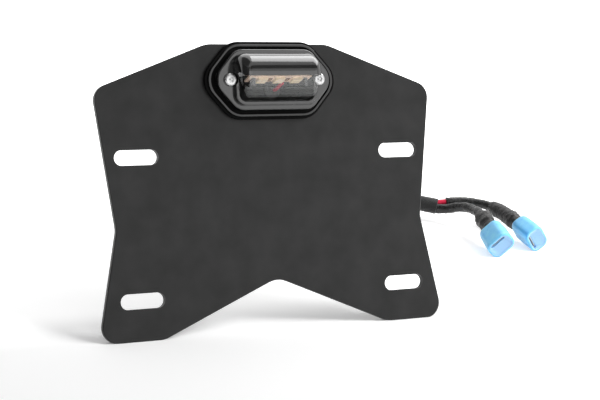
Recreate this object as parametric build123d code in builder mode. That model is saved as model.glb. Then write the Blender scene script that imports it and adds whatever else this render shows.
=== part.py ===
from build123d import *
from math import cos, pi, radians, sin, tan
import os

# Licence plate bracket for a motorbike: a flat steel plate with four slots for the number plate, a
# small lamp at its top edge that lights the plate, and a short harness with two spade connectors.
# The bracket stands in the XZ plane, with its front face at Y = 0 looking towards -Y and +Z up. The
# origin is the centre of the slot pattern. Lengths are in millimetres.

# Bracket plate: half of its outline, from the top edge down to the notch between the feet
PLATE_THICKNESS = 3.0
TOP_HALF_WIDTH = 33.5
TOP_Z = 90.4
SHOULDER_HALF_WIDTH = 93.7
SHOULDER_Z = 68.1
WAIST_HALF_WIDTH = 84.9
WAIST_Z = 0.0
FOOT_HALF_WIDTH = 95.9
FOOT_INNER_HALF_WIDTH = 62.8
FOOT_Z = -54.6
NOTCH_Z = -27.9
TOP_RADIUS = 16.0
SHOULDER_RADIUS = 8.0
WAIST_RADIUS = 12.0
FOOT_RADIUS = 8.0
FOOT_INNER_RADIUS = 15.0
NOTCH_RADIUS = 14.0
EDGE_BREAK = 0.3

# Slots for the number plate's bolts
SLOT_SPACING_X = 146.05
SLOT_SPACING_Z = 69.85
SLOT_LENGTH = 23.0
SLOT_WIDTH = 7.6

# Lamp: a stack of gasket, tray and cover on the plate's front, centred on one screw line
LAMP_Z = 71.8
SCREW_SPACING = 49.0
COVER_HALF_WIDTH = 31.0
COVER_HALF_HEIGHT = 15.2
COVER_SLANT = 48.5
COVER_TIP_RADIUS = 9.0
COVER_CORNER_RADIUS = 8.0
TIP_GROWTH = 0.5
GASKET_THICKNESS = 0.8
GASKET_INSET = 0.6
TRAY_MARGIN = 4.4
TRAY_FLOOR = 1.4
TRAY_EDGE_ROUND = 0.6
RIM_HEIGHT = 1.2
RIM_OUTER_MARGIN = 3.0
RIM_INNER_MARGIN = 1.7
RIM_ROUND = 0.3
COVER_WALL = 1.6
COVER_RISE = 4.7
COVER_EDGE_ROUND = 0.7

# Domed housing on the cover, with the hood above and the window below
DOME_LENGTH = 44.8
DOME_HEIGHT = 25.8
DOME_DEPTH = 12.2
DOME_ROUND = 10.0
DOME_END_ROUND = 5.5
FOOT_GROOVE = 0.5
HOOD_EDGE_RISE = 1.0
FRAME_HEIGHT = 2.5
FRAME_ROUND = 0.4
LENS_CLEARANCE = 0.1
LENS_WALL = 1.4
LENS_OVERLAP = 2.0
HEAD_CLEARANCE = 0.3

# Light board under the hood, held by two posts of the tray
BOARD_LENGTH = 34.0
BOARD_DEPTH = 8.0
BOARD_THICKNESS = 1.0
BOARD_TILT = 16.0
BOARD_RISE = 0.3
BOARD_HEIGHT = 11.3
BOARD_CLEARANCE = 0.1
POST_WIDTH = 1.6
POST_INSET = 2.6
POST_DEPTH = 8.0
CHIP_SIZE = 5.0
CHIP_HEIGHT = 1.4
CHIP_SPACING = 9.5
CHIP_COUNT = 3
RESISTOR_LENGTH = 3.2
RESISTOR_WIDTH = 1.6
RESISTOR_HEIGHT = 0.6
RESISTOR_COUNT = 2

# Lamp screws with a pin in a six-lobed recess, washers and lock nuts
SCREW_DIAMETER = 4.0
SCREW_LENGTH = 16.0
SCREW_HOLE = 4.4
HEAD_DIAMETER = 6.5
HEAD_HEIGHT = 2.0
HEAD_ROUND = 1.2
RECESS_RADIUS = 1.15
LOBE_RADIUS = 0.42
LOBE_COUNT = 6
RECESS_DEPTH = 1.1
RECESS_PIN_RADIUS = 0.45
WASHER_DIAMETER = 9.0
WASHER_THICKNESS = 0.8
NUT_FLATS = 7.0
NUT_HEX_HEIGHT = 3.6
NUT_CHAMFER = 0.4
NUT_COLLAR_HEIGHT = 1.4
NUT_COLLAR_DIAMETER = 6.4
THREAD_CLEARANCE = 0.03

# Rubber grommet in the plate, with a tapered boot that the harness sleeve meets
GROMMET_DROP = 5.0
PLATE_HOLE = 13.0
GROMMET_FIT = 0.1
GROMMET_FRONT_FLANGE = 16.4
GROMMET_BACK_FLANGE = 18.0
GROMMET_BACK_THICKNESS = 2.0
GROMMET_SPIGOT = 8.6
GROMMET_SPIGOT_LENGTH = 3.0
GROMMET_BORE = 6.4
BOOT_LENGTH = 14.0
BOOT_ROOT_DIAMETER = 14.0
BOOT_TIP_DIAMETER = 10.6

# Wires inside the lamp
INNER_WIRE_DIAMETER = 1.8
INNER_WIRE_BEND = 2.2
INNER_WIRE_SPREAD = 1.3
WIRE_PAD_SPREAD = 3.4

# Harness: a sleeve, then two leads that end in insulated spade connectors
SLEEVE_DIAMETER = 9.8
EARTH_LEAD_DIAMETER = 6.2
FEED_LEAD_DIAMETER = 5.6
FEED_WIRE_DIAMETER = 3.6
BEND_SHARE = 0.45

# Route of each run of the harness, chosen by eye
SLEEVE_ROUTE = [
    (0, 19, 66.8), (0, 42, 66.8), (3, 66, 58), (12, 86.5, 43.5), (27, 101.5, 27), (46, 114.5, 11),
    (68, 126.5, 0), (91, 138.5, -3), (114, 148.5, -1), (136, 155.5, 2.6), (156, 156.5, 7.2),
    (170.5, 152.8, 8), (183.6, 145.3, 3.6),
]
FEED_WIRE_ROUTE = [(185.7, 145.742, 6.366), (190.0, 144.4, 6.4)]
FEED_LEAD_ROUTE = [
    (190.0, 144.4, 6.4), (201.5, 140.812, 6.492), (211, 133.8, 4), (216.58, 120.16, -1.42),
    (216, 99.3, -11.1),
]
EARTH_LEAD_ROUTE = [
    (183.7, 144.16, 1.75), (189.6, 139.2, 2), (195.1, 131, 2.8), (196.9, 121.2, 0.2),
    (193.93, 109.68, -2.41), (189.3, 91.8, -12.4),
]

# Spade connectors: a metal receptacle in a soft insulating cover, with a shrink collar behind it
CONNECTOR_LENGTH = 20.0
EARTH_MOUTH = (184.9, 74.8, -21.9)
EARTH_WIDTH_DIRECTION = (0.603, -0.5, 0.622)
FEED_MOUTH = (215.5, 81.2, -19.5)
FEED_WIDTH_DIRECTION = (-0.609, -0.322, 0.724)
CONNECTOR_REAR_WIDTH = 15.2
CONNECTOR_WIDTH = 16.4
CONNECTOR_THICKNESS = 12.2
CONNECTOR_CORNER = 4.6
CONNECTOR_REAR_ROUND = 2.4
CONNECTOR_MOUTH_ROUND = 0.8
MOUTH_OFFSET = 3.9
MOUTH_WALL = 1.6
MOUTH_LENGTH = 9.4
MOUTH_GAP = 1.7
TERMINAL_WIDTH = 9.0
TERMINAL_HEIGHT = 2.6
TERMINAL_METAL = 0.5
TERMINAL_ROLL = 1.25
TERMINAL_SEAM = 2.4
TERMINAL_CLEARANCE = 0.2
TERMINAL_START = 7.0
CRIMP_DIAMETER = 5.0
COLLAR_LENGTH = 15.0
COLLAR_DIAMETER = 10.8
COLLAR_STEP = 5.0
COLLAR_FLARE = 0.8
COLLAR_NECK = 9.2
COLLAR_TAIL_WALL = 0.8
COLLAR_TAPER = 3.5
COLLAR_FIT = 0.05
LEAD_GAP = 0.1

# Heights of the lamp's faces in front of the plate
tray_back = GASKET_THICKNESS
tray_face = tray_back + TRAY_FLOOR
rim_top = tray_face + RIM_HEIGHT
cover_face = tray_face + COVER_RISE
cover_inside = cover_face - COVER_WALL
screw_x = SCREW_SPACING / 2
grommet_z = LAMP_Z - GROMMET_DROP
hood_edge = LAMP_Z + HOOD_EDGE_RISE
frame_top = cover_face + FRAME_HEIGHT
tray_hole = GROMMET_SPIGOT + 2 * GROMMET_FIT

# Plate that joins a terminal's crimp barrel to its receptacle, which lies off the lead's axis
plate_start = TERMINAL_START - TERMINAL_METAL
plate_top = MOUTH_OFFSET + TERMINAL_HEIGHT / 2
plate_height = plate_top + CRIMP_DIAMETER / 2
plate_middle = (plate_top - CRIMP_DIAMETER / 2) / 2


def lamp_plane(height, z=LAMP_Z):
    """Plane parallel to the plate, at a height in front of it, with its local Y upwards."""
    return Plane(origin=(0, -height, z), x_dir=(1, 0, 0), z_dir=(0, -1, 0))


def back_plane(depth, x=0.0, z=LAMP_Z):
    """Plane parallel to the plate, behind its front face, facing away from the viewer."""
    return Plane(origin=(x, depth, z), x_dir=(-1, 0, 0), z_dir=(0, 1, 0))


def lamp_outline(height, margin):
    """Long hexagon with rounded corners: the cover's outline, grown by a margin on every side."""
    half_angle = radians(COVER_SLANT)
    tip_cut = COVER_TIP_RADIUS * (1 / sin(half_angle) - 1)
    tip_x = COVER_HALF_WIDTH + tip_cut
    corner_x = tip_x - COVER_HALF_HEIGHT / tan(half_angle)
    tip = tip_x + margin / sin(half_angle)
    corner = corner_x + margin * tan(half_angle / 2)
    half_height = COVER_HALF_HEIGHT + margin
    with BuildSketch(lamp_plane(height)) as outline:
        with BuildLine():
            Polyline(
                (tip, 0), (corner, half_height), (-corner, half_height),
                (-tip, 0), (-corner, -half_height), (corner, -half_height), close=True,
            )
        make_face()
        tips = outline.vertices().group_by(Axis.X)
        fillet(tips[0] + tips[-1], COVER_TIP_RADIUS + TIP_GROWTH * max(margin, 0))
        corners = outline.vertices().group_by(Axis.Y)
        fillet(corners[0] + corners[-1], COVER_CORNER_RADIUS + max(margin, 0))
    return outline.sketch


def dome(inset, foot):
    """Loaf-shaped form of the housing, shrunk by an inset, standing on a foot plane."""
    with BuildPart() as form:
        with BuildSketch(lamp_plane(foot)):
            Rectangle(DOME_LENGTH - 2 * inset, DOME_HEIGHT - 2 * inset)
        extrude(amount=cover_face + DOME_DEPTH - inset - foot)
        crown = form.edges().filter_by(Axis.X).group_by(Axis.Y)[0]
        fillet(crown, DOME_ROUND - inset)
        ends = form.faces().filter_by(Axis.X)
        seat = form.edges().group_by(Axis.Y)[-1]
        rims = [edge for face in ends for edge in face.edges() if edge not in seat]
        fillet(rims, DOME_END_ROUND - inset)
    return form.part


def tube(points, diameter):
    """Round tube along straight runs joined by arcs that are as large as the runs allow."""
    corners = [Vector(*point) for point in points]
    runs = [end - start for start, end in zip(corners, corners[1:])]
    radii = []
    for before, after in zip(runs, runs[1:]):
        shorter = min(before.length, after.length)
        radii.append(BEND_SHARE * shorter / tan(radians(before.get_angle(after)) / 2))
    with BuildPart() as pipe:
        with BuildLine() as path:
            if radii:
                FilletPolyline(*points, radius=radii)
            else:
                Line(*points)
        with BuildSketch(Plane(origin=path.line @ 0, z_dir=path.line % 0)):
            Circle(diameter / 2)
        sweep()
    length = path.wire().length
    expected = pi * diameter**2 / 4 * length
    shown = ", ".join(f"{radius:.0f}" for radius in radii)
    print(f"tube {diameter} long {length:.1f}, volume {pipe.part.volume / expected:.4f}, radii {shown}")
    return pipe


def connector_plane(rear, mouth, width_direction, distance=0.0, side=0.0):
    """Cross-section plane of a connector, at a distance from its rear towards its mouth."""
    axis = (Vector(*mouth) - Vector(*rear)).normalized()
    across = Vector(*width_direction)
    across = (across - axis * across.dot(axis)).normalized()
    origin = Vector(*rear) + axis * (LEAD_GAP + distance) + axis.cross(across) * side
    return Plane(origin=origin, x_dir=across, z_dir=axis)


# Bracket plate, cut from one flat sheet
half_outline = [
    (TOP_HALF_WIDTH, TOP_Z), (SHOULDER_HALF_WIDTH, SHOULDER_Z), (WAIST_HALF_WIDTH, WAIST_Z),
    (FOOT_HALF_WIDTH, FOOT_Z), (FOOT_INNER_HALF_WIDTH, FOOT_Z),
]
corner_radii = [TOP_RADIUS, SHOULDER_RADIUS, WAIST_RADIUS, FOOT_RADIUS, FOOT_INNER_RADIUS]
with BuildPart() as bracket_plate:
    with BuildSketch(back_plane(0, z=0)) as sheet:
        with BuildLine():
            mirrored = [(-x, z) for x, z in reversed(half_outline)]
            Polyline(*half_outline, (0, NOTCH_Z), *mirrored, close=True)
        make_face()
        for (x, z), radius in zip(half_outline, corner_radii):
            for side in (-1, 1):
                fillet(sheet.vertices().sort_by_distance((side * x, z))[0], radius)
        fillet(sheet.vertices().sort_by_distance((0, NOTCH_Z))[0], NOTCH_RADIUS)
    extrude(amount=PLATE_THICKNESS)
    outline_edges = bracket_plate.edges().filter_by(Plane.XZ)
    chamfer(outline_edges, EDGE_BREAK)
    with BuildSketch(back_plane(0, z=0)):
        with GridLocations(SLOT_SPACING_X, SLOT_SPACING_Z, 2, 2):
            SlotOverall(SLOT_LENGTH, SLOT_WIDTH)
    extrude(amount=PLATE_THICKNESS, mode=Mode.SUBTRACT)
    with BuildSketch(back_plane(0)):
        with GridLocations(SCREW_SPACING, 0, 2, 1):
            Circle(SCREW_HOLE / 2)
        with Locations((0, -GROMMET_DROP)):
            Circle(PLATE_HOLE / 2)
    extrude(amount=PLATE_THICKNESS, mode=Mode.SUBTRACT)

# Gasket between the lamp and the plate
with BuildPart() as lamp_gasket:
    add(lamp_outline(0, TRAY_MARGIN - GASKET_INSET))
    extrude(amount=GASKET_THICKNESS, dir=(0, -1, 0))
    with BuildSketch(lamp_plane(0)):
        with GridLocations(SCREW_SPACING, 0, 2, 1):
            Circle(SCREW_HOLE / 2)
        with Locations((0, -GROMMET_DROP)):
            Circle(GROMMET_FRONT_FLANGE / 2 + GROMMET_FIT)
    extrude(amount=GASKET_THICKNESS, mode=Mode.SUBTRACT)

# Light board's own plane, with its face down and towards the viewer
board_centre = (0, -BOARD_HEIGHT, LAMP_Z + BOARD_RISE)
board_normal = (0, -sin(radians(BOARD_TILT)), -cos(radians(BOARD_TILT)))
board_plane = Plane(origin=board_centre, x_dir=(1, 0, 0), z_dir=board_normal)

# Tray that carries the cover, with a raised rim and two posts for the light board
post_x = BOARD_LENGTH / 2 - POST_INSET
post_height = BOARD_HEIGHT + BOARD_DEPTH / 4 - tray_face
with BuildPart() as lamp_tray:
    add(lamp_outline(tray_back, TRAY_MARGIN))
    extrude(amount=TRAY_FLOOR, dir=(0, -1, 0))
    fillet(lamp_tray.edges().group_by(Axis.Y)[0], TRAY_EDGE_ROUND)
    add(lamp_outline(tray_face, RIM_OUTER_MARGIN))
    extrude(amount=RIM_HEIGHT, dir=(0, -1, 0))
    add(lamp_outline(tray_face, RIM_INNER_MARGIN))
    extrude(amount=RIM_HEIGHT, dir=(0, -1, 0), mode=Mode.SUBTRACT)
    fillet(lamp_tray.edges().group_by(Axis.Y)[0], RIM_ROUND)
    with BuildSketch(lamp_plane(tray_back)):
        with GridLocations(SCREW_SPACING, 0, 2, 1):
            Circle(SCREW_HOLE / 2)
        with Locations((0, -GROMMET_DROP)):
            Circle(tray_hole / 2)
    extrude(amount=TRAY_FLOOR, mode=Mode.SUBTRACT)
    with BuildSketch(lamp_plane(tray_face)):
        with GridLocations(2 * post_x, 0, 2, 1):
            Rectangle(POST_WIDTH, POST_DEPTH)
    extrude(amount=post_height)
    with BuildSketch(board_plane.offset(-BOARD_THICKNESS / 2 - BOARD_CLEARANCE)):
        Rectangle(BOARD_LENGTH + 2 * BOARD_CLEARANCE, BOARD_DEPTH + 2 * BOARD_CLEARANCE)
    extrude(amount=BOARD_THICKNESS + 2 * BOARD_CLEARANCE, mode=Mode.SUBTRACT)

# Cover: a flange that stands in the tray and carries the domed housing and its hood
dome_outside = dome(0, cover_inside)
dome_inside = dome(COVER_WALL, tray_face)
with BuildPart() as lamp_cover:
    add(lamp_outline(tray_face, 0))
    extrude(amount=COVER_RISE, dir=(0, -1, 0))
    fillet(lamp_cover.edges().group_by(Axis.Y)[0], COVER_EDGE_ROUND)
    add(lamp_outline(tray_face, -COVER_WALL))
    extrude(amount=cover_inside - tray_face, dir=(0, -1, 0), mode=Mode.SUBTRACT)
    with BuildSketch(lamp_plane(tray_face)):
        with GridLocations(SCREW_SPACING, 0, 2, 1):
            Circle(HEAD_DIAMETER / 2)
    extrude(amount=cover_inside - tray_face)
    add(dome_outside)
    add(dome_inside, mode=Mode.SUBTRACT)
    with BuildSketch(lamp_plane(tray_face)):
        with GridLocations(SCREW_SPACING, 0, 2, 1):
            Circle(SCREW_HOLE / 2)
    extrude(amount=COVER_RISE, mode=Mode.SUBTRACT)
    with BuildSketch(lamp_plane(cover_face)):
        with GridLocations(SCREW_SPACING, 0, 2, 1):
            Circle(HEAD_DIAMETER / 2 + HEAD_CLEARANCE)
    extrude(amount=DOME_DEPTH, mode=Mode.SUBTRACT)
    with BuildSketch(lamp_plane(frame_top, hood_edge)):
        Rectangle(DOME_LENGTH, DOME_HEIGHT, align=(Align.CENTER, Align.MAX))
    extrude(amount=DOME_DEPTH, mode=Mode.SUBTRACT)
    frame_foot = (0, -frame_top, LAMP_Z - DOME_HEIGHT / 2)
    frame_face = lamp_cover.faces().filter_by(Plane.XZ).sort_by_distance(frame_foot)[0]
    fillet(frame_face.edges().sort_by_distance(frame_foot)[0], FRAME_ROUND)
    with BuildSketch(lamp_plane(cover_face - FOOT_GROOVE)):
        RectangleRounded(
            DOME_LENGTH + 2 * FOOT_GROOVE, DOME_HEIGHT + 2 * FOOT_GROOVE, DOME_END_ROUND + FOOT_GROOVE,
        )
        RectangleRounded(DOME_LENGTH, DOME_HEIGHT, DOME_END_ROUND, mode=Mode.SUBTRACT)
    extrude(amount=FOOT_GROOVE, mode=Mode.SUBTRACT)

# Clear lens inside the cover, seen through the window
lens_outside = dome(COVER_WALL + LENS_CLEARANCE, tray_face)
lens_inside = dome(COVER_WALL + LENS_CLEARANCE + LENS_WALL, tray_face)
with BuildPart() as lamp_lens:
    add(lens_outside)
    add(lens_inside, mode=Mode.SUBTRACT)
    with BuildSketch(lamp_plane(tray_face, hood_edge + LENS_OVERLAP)):
        Rectangle(DOME_LENGTH, DOME_HEIGHT, align=(Align.CENTER, Align.MIN))
    extrude(amount=COVER_RISE + DOME_DEPTH, mode=Mode.SUBTRACT)

# Light board, its light chips and its resistors
with BuildPart() as light_board:
    with BuildSketch(board_plane.offset(-BOARD_THICKNESS / 2)):
        Rectangle(BOARD_LENGTH, BOARD_DEPTH)
    extrude(amount=BOARD_THICKNESS)

with BuildPart() as light_chips:
    with BuildSketch(board_plane.offset(BOARD_THICKNESS / 2)):
        with GridLocations(CHIP_SPACING, 0, CHIP_COUNT, 1):
            Rectangle(CHIP_SIZE, CHIP_SIZE)
    extrude(amount=CHIP_HEIGHT)

with BuildPart() as board_resistors:
    with BuildSketch(board_plane.offset(BOARD_THICKNESS / 2)):
        with GridLocations(CHIP_SPACING, 0, RESISTOR_COUNT, 1):
            Rectangle(RESISTOR_WIDTH, RESISTOR_LENGTH)
    extrude(amount=RESISTOR_HEIGHT)


def lamp_screw(x):
    """Round-head screw with a pin in its six-lobed recess, driven in from the front."""
    head_top = cover_face + HEAD_HEIGHT
    with BuildPart() as screw:
        with BuildSketch(back_plane(-head_top, x)):
            Circle(HEAD_DIAMETER / 2)
        extrude(amount=HEAD_HEIGHT)
        fillet(screw.edges().group_by(Axis.Y)[0], HEAD_ROUND)
        with BuildSketch(back_plane(-cover_face, x)):
            Circle(SCREW_DIAMETER / 2)
        extrude(amount=SCREW_LENGTH)
        with BuildSketch(back_plane(-head_top, x)):
            Circle(RECESS_RADIUS)
            with PolarLocations(RECESS_RADIUS, LOBE_COUNT):
                Circle(LOBE_RADIUS)
            Circle(RECESS_PIN_RADIUS, mode=Mode.SUBTRACT)
        extrude(amount=RECESS_DEPTH, mode=Mode.SUBTRACT)
    return screw


def screw_washer(x):
    """Flat washer behind the plate."""
    with BuildPart() as washer:
        with BuildSketch(back_plane(PLATE_THICKNESS, x)):
            Circle(WASHER_DIAMETER / 2)
            Circle(SCREW_HOLE / 2, mode=Mode.SUBTRACT)
        extrude(amount=WASHER_THICKNESS)
    return washer


def lock_nut(x):
    """Hexagon nut with a round locking collar."""
    seat = PLATE_THICKNESS + WASHER_THICKNESS
    bore = SCREW_DIAMETER / 2 + THREAD_CLEARANCE
    with BuildPart() as nut:
        with BuildSketch(back_plane(seat, x)):
            RegularPolygon(NUT_FLATS / 2, 6, major_radius=False)
        extrude(amount=NUT_HEX_HEIGHT)
        chamfer(nut.edges().filter_by(Plane.XZ), NUT_CHAMFER)
        with BuildSketch(back_plane(seat + NUT_HEX_HEIGHT, x)):
            Circle(NUT_COLLAR_DIAMETER / 2)
        extrude(amount=NUT_COLLAR_HEIGHT)
        with BuildSketch(back_plane(seat, x)):
            Circle(bore)
        extrude(amount=NUT_HEX_HEIGHT + NUT_COLLAR_HEIGHT, mode=Mode.SUBTRACT)
    return nut


lamp_screw_left = lamp_screw(-screw_x)
lamp_screw_right = lamp_screw(screw_x)
washer_left = screw_washer(-screw_x)
washer_right = screw_washer(screw_x)
lock_nut_left = lock_nut(-screw_x)
lock_nut_right = lock_nut(screw_x)

# Grommet: front flange inside the gasket, neck in the plate, back flange and tapered boot
boot_root = PLATE_THICKNESS + GROMMET_BACK_THICKNESS
boot_tip = boot_root + BOOT_LENGTH
grommet_axis = Axis((0, 0, grommet_z), (0, 1, 0))
with BuildPart() as cable_grommet:
    with BuildSketch(Plane(origin=(0, 0, grommet_z), x_dir=(1, 0, 0), z_dir=(0, 0, 1))):
        with BuildLine():
            Polyline(
                (GROMMET_BORE / 2, -GROMMET_SPIGOT_LENGTH),
                (GROMMET_SPIGOT / 2, -GROMMET_SPIGOT_LENGTH),
                (GROMMET_SPIGOT / 2, -GASKET_THICKNESS),
                (GROMMET_FRONT_FLANGE / 2, -GASKET_THICKNESS),
                (GROMMET_FRONT_FLANGE / 2, 0),
                (PLATE_HOLE / 2 - GROMMET_FIT, 0),
                (PLATE_HOLE / 2 - GROMMET_FIT, PLATE_THICKNESS),
                (GROMMET_BACK_FLANGE / 2, PLATE_THICKNESS),
                (GROMMET_BACK_FLANGE / 2, boot_root),
                (BOOT_ROOT_DIAMETER / 2, boot_root),
                (BOOT_TIP_DIAMETER / 2, boot_tip),
                (GROMMET_BORE / 2, boot_tip),
                close=True,
            )
        make_face()
    revolve(axis=grommet_axis)

# Two thin wires from the light board through the grommet to the start of the sleeve
board_back = BOARD_HEIGHT - BOARD_DEPTH / 2


def inner_wire(side):
    """Wire that drops from the board's back edge and turns back through the grommet."""
    pad = (side * WIRE_PAD_SPREAD, -board_back + INNER_WIRE_DIAMETER, LAMP_Z - INNER_WIRE_DIAMETER)
    knee = (side * INNER_WIRE_SPREAD, -tray_face - INNER_WIRE_DIAMETER, grommet_z)
    end = (side * INNER_WIRE_SPREAD, boot_tip, grommet_z)
    with BuildPart() as wire:
        with BuildLine() as path:
            FilletPolyline(pad, knee, end, radius=INNER_WIRE_BEND)
        with BuildSketch(Plane(origin=path.line @ 0, z_dir=path.line % 0)):
            Circle(INNER_WIRE_DIAMETER / 2)
        sweep()
    return wire


feed_wire_inside = inner_wire(1)
earth_wire_inside = inner_wire(-1)

# Harness
harness_sleeve = tube(SLEEVE_ROUTE, SLEEVE_DIAMETER)
feed_wire = tube(FEED_WIRE_ROUTE, FEED_WIRE_DIAMETER)
feed_lead = tube(FEED_LEAD_ROUTE, FEED_LEAD_DIAMETER)
earth_lead = tube(EARTH_LEAD_ROUTE, EARTH_LEAD_DIAMETER)


def spade_cover(rear, mouth, width_direction):
    """Soft insulating cover, a little wider at its mouth, with a slot near one long side."""
    def section(distance, side=0.0):
        return connector_plane(rear, mouth, width_direction, distance, side)

    with BuildPart() as cover:
        with BuildSketch(section(0)):
            RectangleRounded(CONNECTOR_REAR_WIDTH, CONNECTOR_THICKNESS, CONNECTOR_CORNER)
        with BuildSketch(section(CONNECTOR_LENGTH)):
            RectangleRounded(CONNECTOR_WIDTH, CONNECTOR_THICKNESS, CONNECTOR_CORNER)
        loft()
        for distance, radius in (
            (CONNECTOR_LENGTH, CONNECTOR_MOUTH_ROUND), (0, CONNECTOR_REAR_ROUND),
        ):
            end_face = cover.faces().sort_by_distance(section(distance).origin)[0]
            fillet(end_face.edges(), radius)
        with BuildSketch(section(0)):
            Circle(CRIMP_DIAMETER / 2 + TERMINAL_CLEARANCE)
        extrude(amount=TERMINAL_START, mode=Mode.SUBTRACT)
        with BuildSketch(section(plate_start - TERMINAL_CLEARANCE, plate_middle)):
            Rectangle(TERMINAL_WIDTH + 2 * TERMINAL_CLEARANCE, plate_height + 2 * TERMINAL_CLEARANCE)
        extrude(amount=CONNECTOR_LENGTH - MOUTH_WALL - plate_start, mode=Mode.SUBTRACT)
        with BuildSketch(section(TERMINAL_START, MOUTH_OFFSET)):
            SlotOverall(MOUTH_LENGTH, MOUTH_GAP)
        extrude(amount=CONNECTOR_LENGTH, mode=Mode.SUBTRACT)
    return cover


def spade_terminal(rear, mouth, width_direction):
    """Sheet-metal receptacle with rolled edges, joined by a plate to a round crimp barrel."""
    def section(distance, side=0.0):
        return connector_plane(rear, mouth, width_direction, distance, side)

    with BuildPart() as terminal:
        with BuildSketch(section(TERMINAL_START, MOUTH_OFFSET)):
            RectangleRounded(TERMINAL_WIDTH, TERMINAL_HEIGHT, TERMINAL_ROLL)
            RectangleRounded(
                TERMINAL_WIDTH - 2 * TERMINAL_METAL, TERMINAL_HEIGHT - 2 * TERMINAL_METAL,
                TERMINAL_ROLL - TERMINAL_METAL, mode=Mode.SUBTRACT,
            )
            with Locations((0, TERMINAL_HEIGHT / 2)):
                Rectangle(TERMINAL_SEAM, TERMINAL_HEIGHT - TERMINAL_METAL, mode=Mode.SUBTRACT)
        extrude(amount=CONNECTOR_LENGTH - MOUTH_WALL - TERMINAL_START - TERMINAL_CLEARANCE)
        with BuildSketch(section(0)):
            Circle(CRIMP_DIAMETER / 2)
            Circle(CRIMP_DIAMETER / 2 - TERMINAL_METAL, mode=Mode.SUBTRACT)
        extrude(amount=plate_start)
        with BuildSketch(section(plate_start, plate_middle)):
            Rectangle(CRIMP_DIAMETER, plate_height)
        extrude(amount=TERMINAL_METAL)
    return terminal


def shrink_collar(rear, mouth, width_direction, lead_diameter):
    """Shrink tube behind a connector: tapered at its tail, with a narrower neck at the cover."""
    bore = lead_diameter / 2 + COLLAR_FIT
    tail = lead_diameter / 2 + COLLAR_TAIL_WALL
    section = connector_plane(rear, mouth, width_direction)
    side_view = Plane(origin=section.origin, x_dir=section.x_dir, z_dir=-section.y_dir)
    with BuildPart() as collar:
        with BuildSketch(side_view):
            with BuildLine():
                Polyline(
                    (bore, 0), (COLLAR_NECK / 2, 0), (COLLAR_NECK / 2, -COLLAR_STEP),
                    (COLLAR_DIAMETER / 2, -COLLAR_STEP - COLLAR_FLARE),
                    (COLLAR_DIAMETER / 2, COLLAR_TAPER - COLLAR_LENGTH),
                    (tail, -COLLAR_LENGTH), (bore, -COLLAR_LENGTH), close=True,
                )
            make_face()
        revolve(axis=Axis(section.origin, section.z_dir))
    return collar


earth_connector = (EARTH_LEAD_ROUTE[-1], EARTH_MOUTH, EARTH_WIDTH_DIRECTION)
feed_connector = (FEED_LEAD_ROUTE[-1], FEED_MOUTH, FEED_WIDTH_DIRECTION)
earth_spade_cover = spade_cover(*earth_connector)
feed_spade_cover = spade_cover(*feed_connector)
earth_terminal = spade_terminal(*earth_connector)
feed_terminal = spade_terminal(*feed_connector)
earth_collar = shrink_collar(*earth_connector, EARTH_LEAD_DIAMETER)
feed_collar = shrink_collar(*feed_connector, FEED_LEAD_DIAMETER)

# Every piece, labelled and written to its own file
pieces = {
    "bracket_plate": bracket_plate,
    "lamp_gasket": lamp_gasket,
    "lamp_tray": lamp_tray,
    "lamp_cover": lamp_cover,
    "lamp_lens": lamp_lens,
    "light_board": light_board,
    "light_chips": light_chips,
    "board_resistors": board_resistors,
    "lamp_screw_left": lamp_screw_left,
    "lamp_screw_right": lamp_screw_right,
    "washer_left": washer_left,
    "washer_right": washer_right,
    "lock_nut_left": lock_nut_left,
    "lock_nut_right": lock_nut_right,
    "cable_grommet": cable_grommet,
    "feed_wire_inside": feed_wire_inside,
    "earth_wire_inside": earth_wire_inside,
    "harness_sleeve": harness_sleeve,
    "feed_wire": feed_wire,
    "feed_lead": feed_lead,
    "earth_lead": earth_lead,
    "earth_collar": earth_collar,
    "feed_collar": feed_collar,
    "earth_spade_cover": earth_spade_cover,
    "feed_spade_cover": feed_spade_cover,
    "earth_terminal": earth_terminal,
    "feed_terminal": feed_terminal,
}
os.makedirs("parts", exist_ok=True)
for name, piece in pieces.items():
    piece.part.label = name
    export_step(piece.part, f"parts/{name}.step")
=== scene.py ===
import logging
import math
from dataclasses import dataclass, field
from enum import Enum

import bpy
from mathutils import Matrix, Vector, noise


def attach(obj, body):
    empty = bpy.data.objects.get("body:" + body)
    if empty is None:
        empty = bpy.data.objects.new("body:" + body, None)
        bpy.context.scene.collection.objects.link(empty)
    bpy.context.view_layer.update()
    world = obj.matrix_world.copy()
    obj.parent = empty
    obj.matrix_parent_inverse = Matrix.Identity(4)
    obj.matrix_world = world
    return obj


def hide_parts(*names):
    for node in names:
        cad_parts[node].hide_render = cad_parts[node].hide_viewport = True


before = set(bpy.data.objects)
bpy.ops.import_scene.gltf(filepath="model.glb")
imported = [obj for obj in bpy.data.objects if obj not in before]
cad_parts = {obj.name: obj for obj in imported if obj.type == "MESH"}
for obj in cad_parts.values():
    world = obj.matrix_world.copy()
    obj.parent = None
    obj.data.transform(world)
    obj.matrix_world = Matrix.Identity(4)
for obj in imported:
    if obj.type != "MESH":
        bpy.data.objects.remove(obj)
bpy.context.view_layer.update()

# License plate bracket with a plate lamp and a harness. Lengths are in metres where nothing else is
# said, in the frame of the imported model: X to the right, Y away from the viewer and Z up along the
# plate's front face.

LOG = logging.getLogger("bracket")
MM = 0.001
MADE = "_finish"  # tells a finish made here from the plain one that the frame has for its slot
PATTERN_SPAN = (0.3, 0.7)  # where most of a random pattern's brightness lies
SIDE_TURNS = (22, 45, 68, 90)  # degrees round a tube's rounded end, from its side to its face
INNER_TURNS = (112, 135, 158, 180)  # the same, from the face to the inside of an open end
Colour = tuple[float, float, float]
Point = tuple[float, float, float]
Socket = bpy.types.NodeSocket


def grey(value: float) -> Colour:
    """Neutral colour of one linear brightness."""
    return (value, value, value)


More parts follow.
